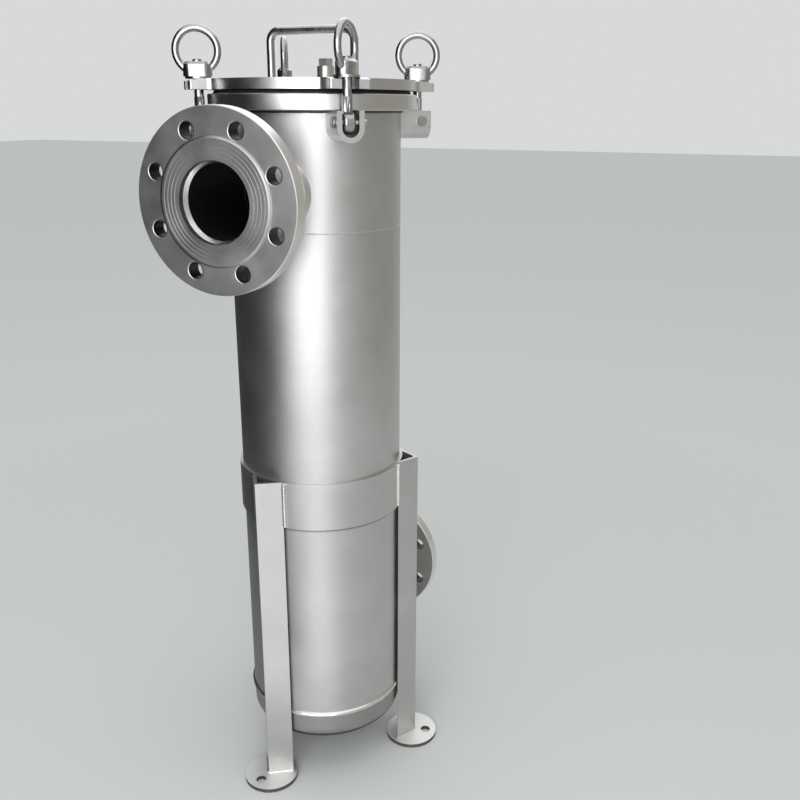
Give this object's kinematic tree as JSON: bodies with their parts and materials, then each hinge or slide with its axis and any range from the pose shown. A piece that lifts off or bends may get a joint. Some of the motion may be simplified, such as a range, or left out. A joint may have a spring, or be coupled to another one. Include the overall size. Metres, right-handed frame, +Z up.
{
  "type": "bag filter housing",
  "caption": "Upright cylindrical bag filter housing on angle legs, with flanged side inlet and outlet, a swing-bolt lid with eye nuts and a lift-out basket and bag.",
  "frame": {"origin": "on the floor, at the centre of the circle through the three foot bolt holes, on the vessel axis", "axes": "+Z up along the vessel axis; the inlet flange faces -Y and the outlet flange +Y"},
  "size_m": [0.2962, 0.432, 1.0195],
  "materials": {
    "bead_blasted_steel": "bead blasted, matte",
    "flange_steel": "satin, faintly turned",
    "leg_steel": "bead blasted, matte",
    "turned_steel": "fine turned",
    "polished_steel": "polished stainless",
    "zinc_spring_steel": "satin",
    "weld_metal": "bright, rippled",
    "basket_steel": "satin sheet",
    "seal_rubber": "matte black",
    "bag_collar_plastic": "satin white",
    "filter_felt": "needle felt"
  },
  "bodies": {
    "housing": {"body_ring": "turned_steel", "bolt_lug_1": "turned_steel", "bolt_lug_2": "turned_steel", "bolt_lug_3": "turned_steel", "bolt_lug_4": "turned_steel", "bottom_head": "bead_blasted_steel", "drain_socket": "turned_steel", "foot_1": "leg_steel", "foot_2": "leg_steel", "foot_3": "leg_steel", "head_weld": "weld_metal", "inlet_flange": "flange_steel", "inlet_neck": "bead_blasted_steel", "inlet_welds": "weld_metal", "leg_1": "leg_steel", "leg_2": "leg_steel", "leg_3": "leg_steel", "leg_band": "bead_blasted_steel", "leg_welds": "weld_metal", "lid_seal": "seal_rubber", "lower_shell": "bead_blasted_steel", "outlet_flange": "flange_steel", "outlet_neck": "bead_blasted_steel", "outlet_welds": "weld_metal", "pin_clips": "zinc_spring_steel", "pivot_pin_1": "polished_steel", "pivot_pin_2": "polished_steel", "pivot_pin_3": "polished_steel", "pivot_pin_4": "polished_steel", "seat_ring": "bead_blasted_steel", "upper_shell": "bead_blasted_steel"},
    "lid": {"lid_plate": "turned_steel", "lid_handle": "polished_steel", "vent_socket": "turned_steel"},
    "basket": {"basket_tube": "basket_steel", "basket_rim": "basket_steel", "basket_base": "basket_steel", "bail_ears": "basket_steel"},
    "bail": {"basket_bail": "polished_steel"},
    "bag": {"bag_ring": "bag_collar_plastic", "filter_bag": "filter_felt"},
    "vent_plug": {"vent_plug": "turned_steel"},
    "drain_plug": {"drain_plug": "turned_steel"},
    "bolt_1": {"swing_bolt_1": "polished_steel"},
    "washer_1": {"washer_1": "polished_steel"},
    "nut_1": {"eye_nut_1": "polished_steel"},
    "bolt_2": {"swing_bolt_2": "polished_steel"},
    "washer_2": {"washer_2": "polished_steel"},
    "nut_2": {"eye_nut_2": "polished_steel"},
    "bolt_3": {"swing_bolt_3": "polished_steel"},
    "washer_3": {"washer_3": "polished_steel"},
    "nut_3": {"eye_nut_3": "polished_steel"},
    "bolt_4": {"swing_bolt_4": "polished_steel"},
    "washer_4": {"washer_4": "polished_steel"},
    "nut_4": {"eye_nut_4": "polished_steel"}
  },
  "joints": [
    {"name": "lid_lift", "type": "slide", "parent": "housing", "child": "lid", "axis": [0, 0, 1], "range_m": [0, 0.4]},
    {"name": "basket_lift", "type": "slide", "parent": "housing", "child": "basket", "axis": [0, 0, 1], "range_m": [0, 0.3]},
    {"name": "bag_lift", "type": "slide", "parent": "basket", "child": "bag", "axis": [0, 0, 1], "range_m": [0, 0.024]},
    {"name": "bail_fold", "type": "hinge", "parent": "basket", "child": "bail", "pos_m": [0, 0, 0.789], "axis": [1, 0, 0], "range_deg": [0, 90]},
    {"name": "vent_plug_turn", "type": "hinge", "parent": "lid", "child": "vent_plug", "pos_m": [0, 0.036, 0.974], "axis": [0, 0, 1], "continuous": true},
    {"name": "drain_plug_turn", "type": "hinge", "parent": "housing", "child": "drain_plug", "pos_m": [0, 0, 0.03], "axis": [0, 0, 1], "continuous": true},
    {"name": "bolt_swing_1", "type": "hinge", "parent": "housing", "child": "bolt_1", "pos_m": [0.09725, -0.10071, 0.9084], "axis": [0.7193, 0.6947, 0], "range_deg": [0, 118]},
    {"name": "washer_run_1", "type": "slide", "parent": "bolt_1", "child": "washer_1", "axis": [0, 0, 1], "range_m": [0, 0.4]},
    {"name": "nut_turn_1", "type": "hinge", "parent": "washer_1", "child": "nut_1", "pos_m": [0.09725, -0.10071, 0.965], "axis": [0, 0, 1], "continuous": true},
    {"name": "bolt_swing_2", "type": "hinge", "parent": "housing", "child": "bolt_2", "pos_m": [0.10071, 0.09725, 0.9084], "axis": [-0.6947, 0.7193, 0], "range_deg": [0, 118]},
    {"name": "washer_run_2", "type": "slide", "parent": "bolt_2", "child": "washer_2", "axis": [0, 0, 1], "range_m": [0, 0.4]},
    {"name": "nut_turn_2", "type": "hinge", "parent": "washer_2", "child": "nut_2", "pos_m": [0.10071, 0.09725, 0.965], "axis": [0, 0, 1], "continuous": true},
    {"name": "bolt_swing_3", "type": "hinge", "parent": "housing", "child": "bolt_3", "pos_m": [-0.09725, 0.10071, 0.9084], "axis": [-0.7193, -0.6947, 0], "range_deg": [0, 118]},
    {"name": "washer_run_3", "type": "slide", "parent": "bolt_3", "child": "washer_3", "axis": [0, 0, 1], "range_m": [0, 0.4]},
    {"name": "nut_turn_3", "type": "hinge", "parent": "washer_3", "child": "nut_3", "pos_m": [-0.09725, 0.10071, 0.965], "axis": [0, 0, 1], "continuous": true},
    {"name": "bolt_swing_4", "type": "hinge", "parent": "housing", "child": "bolt_4", "pos_m": [-0.10071, -0.09725, 0.9084], "axis": [0.6947, -0.7193, 0], "range_deg": [0, 118]},
    {"name": "washer_run_4", "type": "slide", "parent": "bolt_4", "child": "washer_4", "axis": [0, 0, 1], "range_m": [0, 0.4]},
    {"name": "nut_turn_4", "type": "hinge", "parent": "washer_4", "child": "nut_4", "pos_m": [-0.10071, -0.09725, 0.965], "axis": [0, 0, 1], "continuous": true}
  ],
  "couplings": [
    {"joint": "basket_lift", "follows": "lid_lift", "ratio": 0.75},
    {"joint": "bag_lift", "follows": "lid_lift", "ratio": 0.06},
    {"joint": "washer_run_1", "follows": "lid_lift", "ratio": 1},
    {"joint": "washer_run_2", "follows": "lid_lift", "ratio": 1},
    {"joint": "washer_run_3", "follows": "lid_lift", "ratio": 1},
    {"joint": "washer_run_4", "follows": "lid_lift", "ratio": 1}
  ]
}
